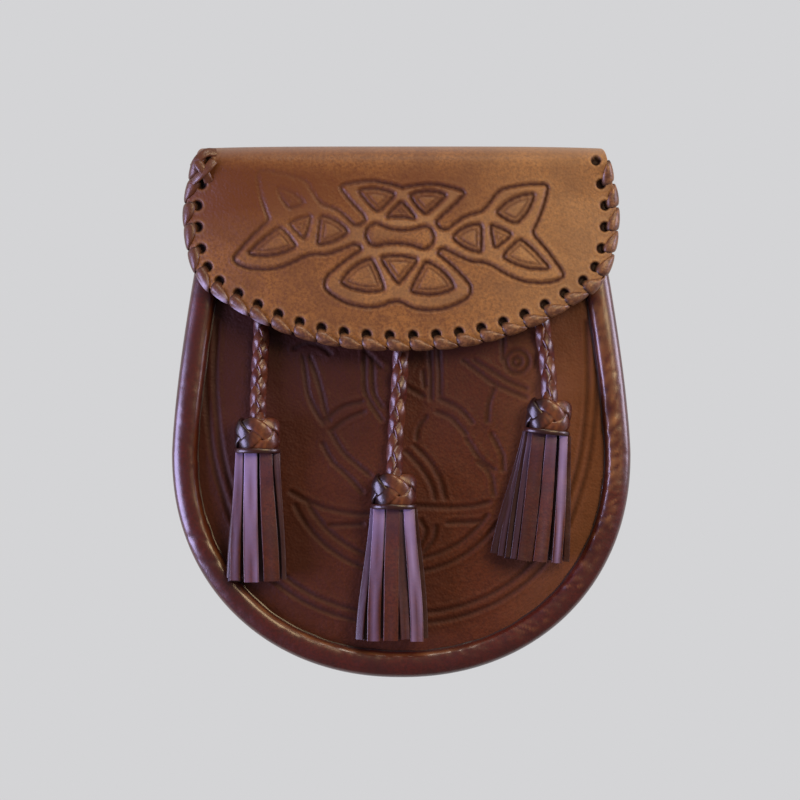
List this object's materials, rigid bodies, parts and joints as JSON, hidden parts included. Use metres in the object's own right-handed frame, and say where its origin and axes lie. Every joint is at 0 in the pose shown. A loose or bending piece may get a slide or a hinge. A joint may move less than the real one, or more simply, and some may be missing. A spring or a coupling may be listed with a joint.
{
  "type": "sporran pouch",
  "caption": "Leather day sporran: deep round-bottomed pouch with rolled edges, a thong-laced flap, plaited cord tassels and belt loops on the back.",
  "frame": {"origin": "under the middle of the pouch, on the surface that it lies on", "axes": "+X to the wearer's left as seen from the front, +Y up the pouch towards its fold, +Z out of its front"},
  "size_m": [0.178, 0.206, 0.0516],
  "materials": {
    "panel_leather": "satin, dark brown, blind embossed",
    "gusset_leather": "glossy oxblood, turned and creased",
    "flap_leather": "satin, mid brown, blind embossed",
    "lacing_thong": "satin, mid brown",
    "tassel_leather": "glossy, reddish brown",
    "stud_brass": "satin"
  },
  "bodies": {
    "root": {"back_panel": "panel_leather", "front_panel": "panel_leather", "gusset": "gusset_leather", "flap": "flap_leather", "flap_lacing": "lacing_thong", "press_stud": "stud_brass", "strap_loop_left": "gusset_leather", "strap_loop_right": "gusset_leather", "tassel_anchor_left": "tassel_leather", "tassel_anchor_centre": "tassel_leather", "tassel_anchor_right": "tassel_leather", "tassel_cord_left": "tassel_leather", "tassel_cord_centre": "tassel_leather", "tassel_cord_right": "tassel_leather", "tassel_knot_left": "tassel_leather", "tassel_knot_centre": "tassel_leather", "tassel_knot_right": "tassel_leather", "tassel_fringe_left": "tassel_leather", "tassel_fringe_centre": "tassel_leather", "tassel_fringe_right": "tassel_leather"}
  },
  "joints": []
}
